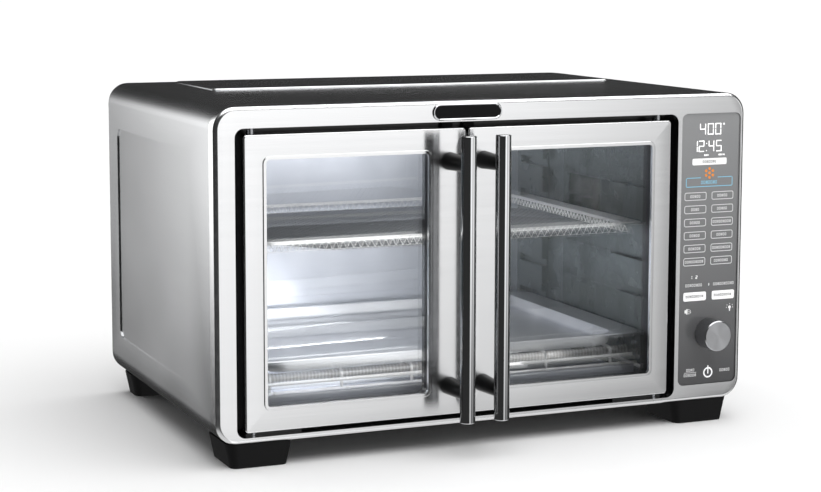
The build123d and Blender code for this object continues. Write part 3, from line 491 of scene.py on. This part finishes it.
# display: a temperature with its degree ring, a clock time, and two small words under it
DIGIT_HEIGHT, DIGIT_STROKE = 9.2, 0.8
digits = bmesh.new()
for text, lefts, top, width in (
    ("400", (16.7, 24.0, 31.0), 8.0, 5.6),
    ("1245", (9.6, 15.8, 25.0, 32.0), 21.8, 5.3),
):
    for digit, left in zip(text, lefts):
        lit_digit(digits, digit, left, top, width, DIGIT_HEIGHT, DIGIT_STROKE)
pad_mm(digits, 38.3, 39.9, 8.0, 9.6, 0.75, 0.4)
for top in (23.8, 29.6):
    pad_mm(digits, 22.7, 23.6, top, top + 0.9, 0.3)
for letters, middle in ((3, 23.4), (4, 37.6)):
    marks(digits, letters, middle, 33.0, 1.5, 1.3)
print_piece(digits, "display_digits", ink("display_white", "#ffffff", 0.7))

# two columns of keys, each with its word, and the words that stand alone
KEY_LEFTS = (3.6, 28.9)
KEY_TOP, KEY_PITCH, KEY_WIDTH, KEY_HEIGHT = 63.6, 10.66, 20.4, 6.6
KEY_LETTERS = ((5, 5), (4, 5), (5, 9), (5, 5), (6, 9), (9, 7))
LONE_WORDS = ((8, 13.9, 138.4), (10, 42.0, 138.4), (4, 12.2, 208.4), (6, 11.9, 212.6), (5, 44.7, 210.3))
key_outlines = bmesh.new()
key_marks = bmesh.new()
for row, row_letters in enumerate(KEY_LETTERS):
    top = KEY_TOP + row * KEY_PITCH
    for left, letters in zip(KEY_LEFTS, row_letters):
        pad_mm(key_outlines, left, left + KEY_WIDTH, top, top + KEY_HEIGHT, 1.6, 0.55)
        marks(key_marks, letters, left + KEY_WIDTH / 2, top + 2.2, 1.95, 2.2)
for letters, middle, top in LONE_WORDS:
    marks(key_marks, letters, middle, top, 2.0, 2.3)
# the rule between the two words at the lower left
pad_mm(key_marks, 6.2, 17.7, 211.4, 211.8, 0.1)
print_piece(key_outlines, "key_outlines", grey_ink_painted_glow)
print_piece(key_marks, "key_marks", grey_ink_painted_glow)

# white keys with dark words on top of them
WHITE_KEYS = ((10.3, 42.2, 36.3, 41.6, 1.0), (4.2, 25.4, 145.2, 152.4, 1.3), (30.9, 52.0, 145.2, 152.4, 1.3))
WHITE_KEY_WORDS = ((7, 26.3, 37.9), (9, 14.8, 147.7), (9, 41.4, 147.7))
white_keys = bmesh.new()
for key in WHITE_KEYS:
    pad_mm(white_keys, *key)
print_piece(white_keys, "white_keys", white_ink_painted_glow)
white_key_marks = bmesh.new()
for letters, middle, top in WHITE_KEY_WORDS:
    marks(white_key_marks, letters, middle, top, 1.9, 2.1, ink_y - INK_HEIGHT)
print_piece(white_key_marks, "white_key_marks", ink("dark_ink", "#5a5a5c"))

# seven dots: one in the middle and six round it
ICON_X, ICON_TOP, DOT, ICON_RADIUS = 26.4, 48.3, 1.15, 3.6
air_icon = bmesh.new()
ring = [Matrix.Rotation(radians(60 * n + 30), 2) @ Vector((ICON_RADIUS, 0)) for n in range(6)]
for offset in (Vector((0, 0)), *ring):
    x, z = ICON_X + offset.x, ICON_TOP + offset.y
    pad_mm(air_icon, x - DOT, x + DOT, z - DOT, z + DOT, DOT * 0.9)
print_piece(air_icon, "air_icon", ink("orange_glow", "#d9822b", 0.4))

# a box under the dots that is open in the middle of its top edge
BOX_LEFT, BOX_RIGHT, BOX_TOP, BOX_BOTTOM, BOX_LINE = 4.6, 48.2, 51.6, 59.4, 0.6
BOX_GAP_LEFT, BOX_GAP_RIGHT = 18.4, 34.2
air_box = bmesh.new()
for left, right in ((BOX_LEFT + 0.8, BOX_GAP_LEFT), (BOX_GAP_RIGHT, BOX_RIGHT - 0.8)):
    pad_mm(air_box, left, right, BOX_TOP, BOX_TOP + BOX_LINE, 0.2)
for left in (BOX_LEFT, BOX_RIGHT - BOX_LINE):
    pad_mm(air_box, left, left + BOX_LINE, BOX_TOP + 0.5, BOX_BOTTOM - 0.5, 0.2)
pad_mm(air_box, BOX_LEFT + 0.5, BOX_RIGHT - 0.5, BOX_BOTTOM - BOX_LINE, BOX_BOTTOM, 0.2)
marks(air_box, 7, ICON_X, 54.4, 2.2, 2.7)
print_piece(air_box, "air_box", ink("blue_glow", "#7db7cf", 0.4))

symbols = bmesh.new()
# power ring with its stroke
pad_mm(symbols, 24.3, 33.1, 208.1, 216.9, 4.35, 1.2)
pad_mm(symbols, 28.2, 29.2, 206.6, 213.6, 0.4)
# speaker with its sound marks, beside the knob
pad_mm(symbols, 5.6, 7.0, 159.6, 162.2, 0.3)
pad_mm(symbols, 7.3, 8.3, 158.6, 163.2, 0.3)
for left, top in ((9.2, 159.0), (9.2, 160.7), (9.2, 162.3), (10.6, 160.1), (10.6, 161.6)):
    pad_mm(symbols, left, left + 0.9, top, top + 0.6, 0.2)
# lamp with its rays, on the knob's other side
pad_mm(symbols, 46.9, 49.3, 158.4, 160.8, 1.15)
pad_mm(symbols, 47.6, 48.6, 160.6, 162.8, 0.3)
for left, top in ((45.4, 157.4), (47.9, 156.6), (50.4, 157.4), (44.9, 159.4), (50.9, 159.4)):
    pad_mm(symbols, left, left + 0.5, top, top + 0.7, 0.2)
# numerals 1 and 2, and the bar between the two lone words below them
for digit, left in (("1", 10.2), ("2", 15.2)):
    lit_digit(symbols, digit, left, 131.6, 1.9, 2.8, 0.5)
pad_mm(symbols, 27.6, 28.2, 138.4, 140.7, 0.2)
print_piece(symbols, "panel_symbols", white_ink_painted_glow)

# ---------------------------------------------------------------- air-fry basket
basket_low, basket_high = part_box("air_fry_basket")
door_middle = (basket_low.x + basket_high.x) / 2
BASKET_HALF = 155 * MM
RIM = 2.4 * MM
FLANGE = 1.2 * MM
BAND = 1.2 * MM
MESH_PITCH = 5.8 * MM
MESH_WIRE = 1.1 * MM
FLOOR_WIRE = 0.8 * MM
RIM_CORNER = 9 * MM
MESH_CELLS = 64
MESH_STRETCH = 1.25
basket_x0, basket_x1 = door_middle - BASKET_HALF, door_middle + BASKET_HALF
rim_z = basket_high.z - RIM
mesh_z = basket_low.z + MESH_WIRE / 2

basket_frame = bmesh.new()
rim_points = (
    (basket_x0, basket_low.y, rim_z),
    (basket_x1, basket_low.y, rim_z),
    (basket_x1, basket_high.y, rim_z),
    (basket_x0, basket_high.y, rim_z),
)
thick_pad(basket_frame, rim_points, RIM_CORNER, (0, 0, RIM), BAND)
for outer, inner in ((basket_low.x, basket_x0), (basket_high.x, basket_x1)):
    bar_between(
        basket_frame,
        min(outer, inner),
        max(outer, inner),
        basket_low.y + RIM_CORNER,
        basket_high.y - RIM_CORNER,
        rim_z,
        rim_z + FLANGE,
    )
basket_frame_piece = finish_piece(basket_frame, "basket_frame", wire, "basket")
rim_round = basket_frame_piece.modifiers.new("rim_round", "BEVEL")
rim_round.width = 0.4 * MM
rim_round.segments = 2


def zigzag_wall(bm, start, end):
    """One row of triangles between the rim and the floor of the basket."""
    count = max(2, round((end - start).length / MESH_PITCH))
    grid = bmesh.ops.create_grid(bm, x_segments=count, y_segments=1, size=0.5)
    verts = grid["verts"]
    along = (end - start) / count
    low = [v for v in verts if v.co.y < 0]
    bmesh.ops.translate(bm, vec=(0.5 / count, 0, 0), verts=low)
    height = rim_z - mesh_z
    upright = Matrix.Identity(4)
    upright.col[0] = (*(end - start), 0)
    upright.col[1] = (0, 0, height, 0)
    upright.col[2] = (*along.cross(Vector((0, 0, 1))), 0)
    upright.col[3] = (*((start + end) / 2 + Vector((0, 0, height / 2))), 1)
    bmesh.ops.transform(bm, matrix=upright, verts=verts)
    faces = list({f for v in verts for f in v.link_faces})
    bmesh.ops.triangulate(bm, faces=faces, quad_method="SHORT_EDGE")


inset = BAND / 2
mx0, mx1 = basket_x0 + inset, basket_x1 - inset
my0, my1 = basket_low.y + inset, basket_high.y - inset
mesh_corners = [Vector((x, y, mesh_z)) for x, y in ((mx0, my0), (mx1, my0), (mx1, my1), (mx0, my1))]
basket_walls = bmesh.new()
for first, second in zip(mesh_corners, mesh_corners[1:] + mesh_corners[:1]):
    zigzag_wall(basket_walls, first, second)

# the floor is a grid turned by 45 degrees, stretched into diamonds and cut to the rim
basket_floor = bmesh.new()
bmesh.ops.create_grid(basket_floor, x_segments=MESH_CELLS, y_segments=MESH_CELLS, size=0.5)
diagonal = MESH_CELLS * MESH_PITCH / 2**0.5
bmesh.ops.transform(
    basket_floor,
    matrix=Matrix.Translation(((mx0 + mx1) / 2, (my0 + my1) / 2, mesh_z))
    @ Matrix.Diagonal((1, MESH_STRETCH, 1, 1))
    @ Matrix.Rotation(radians(45), 4, "Z")
    @ Matrix.Diagonal((diagonal, diagonal, 1, 1)),
    verts=basket_floor.verts,
)
for point, normal in (
    ((mx0, 0, 0), (-1, 0, 0)),
    ((mx1, 0, 0), (1, 0, 0)),
    ((0, my0, 0), (0, -1, 0)),
    ((0, my1, 0), (0, 1, 0)),
):
    bmesh.ops.bisect_plane(
        basket_floor,
        geom=list(basket_floor.verts) + list(basket_floor.edges) + list(basket_floor.faces),
        plane_co=point,
        plane_no=normal,
        clear_outer=True,
    )
for bm, name, finish, thickness in (
    (basket_walls, "basket_walls", wire, MESH_WIRE),
    (basket_floor, "basket_floor", mesh_wire, FLOOR_WIRE),
):
    piece = finish_piece(bm, name, finish, "basket")
    woven = piece.modifiers.new("woven", "WIREFRAME")
    woven.thickness = thickness
    woven.use_even_offset = False
    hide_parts("air_fry_basket")
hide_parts("air_fry_basket")

# ---------------------------------------------------------------- floor, light and camera
floor_bm = bmesh.new()
bmesh.ops.create_grid(floor_bm, x_segments=1, y_segments=1, size=30)
floor_mesh = bpy.data.meshes.new("floor")
floor_bm.to_mesh(floor_mesh)
floor_bm.free()
floor = bpy.data.objects.new("floor", floor_mesh)
floor_paint, _, _ = new_finish(
    "floor_paint", Roughness=0.95, Specular_IOR_Level=0.0, Base_Color=linear("#f4f4f4")
)
floor_mesh.materials.append(floor_paint)
bpy.context.scene.collection.objects.link(floor)
# polished steel mirrors the studio's panels and dark flags instead of an endless white floor
floor.visible_glossy = False


def soft_light(tree, ramps):
    """The level of one light: the product of ramps, each from low to high between two values of a source."""
    level = 1.0
    for source, start, end, low, high in ramps:
        ramp = {"Value": source, "From Min": start, "From Max": end, "To Min": low, "To Max": high}
        factors = {0: level, 1: add_node(tree, "ShaderNodeMapRange", ramp)}
        level = add_node(tree, "ShaderNodeMath", factors, operation="MULTIPLY")
    return level


def studio_world():
    """A dark room with a tall soft panel on the right, another behind on the left, and a dim soft top."""
    world = bpy.data.worlds.new("studio")
    bpy.context.scene.world = world
    world.use_nodes = True
    tree = world.node_tree
    background = tree.nodes["Background"]
    background.inputs["Color"].default_value = linear("#ffffff")
    direction = add_node(tree, "ShaderNodeTexCoord", out="Generated")
    x, y, height = add_node(tree, "ShaderNodeSeparateXYZ", {"Vector": direction}).node.outputs
    forward = add_node(tree, "ShaderNodeMath", {0: y, 1: -1.0}, operation="MULTIPLY")
    around = add_node(tree, "ShaderNodeMath", {0: x, 1: forward}, operation="ARCTAN2")
    # degrees round from straight ahead of the doors, positive to the right
    turn = add_node(tree, "ShaderNodeMath", {0: around}, operation="DEGREES")

    # the right panel is dimmest between 36 and 42 degrees; its foot darkens from 18 degrees on
    foot = soft_light(tree, ((turn, 18, 33, 0.55, 0.2),))
    panel_top = (height, 0.25, 0.5, 1, 0)
    right_panel = (
        (turn, 2, 9, 0, 1),
        (turn, 17, 27, 1.38, 1.2),
        (turn, 27, 36, 1, 0.42),
        (turn, 42.2, 47, 1, 2.14),
        (turn, 66, 72, 1, 0),
        (height, -0.28, -0.1, foot, 1),
        panel_top,
    )
    # the left one stands behind the oven and brightens away from its back
    left_panel = (
        (turn, -166, -161.5, 0, 2),
        (turn, -140, -125, 1, 0),
        (height, -0.22, -0.09, 0, 1),
        panel_top,
    )
    overhead = ((height, 0.6, 0.85, 0, 0.3),)
    floor_bounce = ((height, -0.6, -0.42, 0.75, 0),)
    level = 0.035
    for ramps in (right_panel, left_panel, overhead, floor_bounce):
        both = {0: level, 1: soft_light(tree, ramps)}
        level = add_node(tree, "ShaderNodeMath", both, operation="ADD")
    tree.links.new(level, background.inputs["Strength"])


def lamp(name, kind, place, aim, power, **settings):
    """A lamp at one point that shines at another."""
    data = bpy.data.lights.new(name, kind)
    data.energy = power
    for setting, value in settings.items():
        setattr(data, setting, value)
    made = bpy.data.objects.new(name, data)
    made.location = place
    made.rotation_euler = (Vector(aim) - Vector(place)).to_track_quat("-Z", "Y").to_euler()
    bpy.context.scene.collection.objects.link(made)


studio_world()
lamp("sky", "SUN", (0.5, -0.6, 3), (0, 0, 0), 3.0, angle=radians(80))

# inside the cavity: one lamp at the top, one behind the doors and one under the pan
cavity_low, cavity_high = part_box("cavity_shell")
cavity_middle = (cavity_low.z + cavity_high.z) / 2
lamp(
    "inside",
    "AREA",
    (door_middle, cavity_low.y + 0.05, cavity_high.z - 0.012),
    (door_middle - 0.02, cavity_high.y, cavity_low.z + 0.06),
    0.12,
    shape="RECTANGLE",
    size=0.26,
    size_y=0.06,
)
lamp(
    "front_fill",
    "AREA",
    (door_middle - 0.02, cavity_low.y + 0.004, cavity_middle),
    (door_middle - 0.06, cavity_high.y, cavity_middle - 0.02),
    0.17,
    shape="RECTANGLE",
    size=0.26,
    size_y=0.18,
)
lamp(
    "under_pan",
    "AREA",
    (door_middle - 0.08, cavity_low.y + 0.1, cavity_low.z + 0.026),
    (door_middle - 0.09, cavity_high.y, cavity_low.z),
    0.25,
    shape="RECTANGLE",
    size=0.13,
    size_y=0.016,
)

camera_data = bpy.data.cameras.new("camera")
camera_data.sensor_width = 36
camera_data.lens = 86.4
camera_data.shift_x = 0.0012
camera_data.shift_y = -0.0551
camera = bpy.data.objects.new("camera", camera_data)
camera.location = (-0.6509, -1.4936, 0.3765)
camera.rotation_euler = (radians(90) - 0.122, 0, -0.403)
camera.rotation_euler.rotate_axis("Z", 0.002)
bpy.context.scene.collection.objects.link(camera)
bpy.context.scene.camera = camera
bpy.context.scene.view_settings.view_transform = "Standard"

bpy.context.view_layer.update()
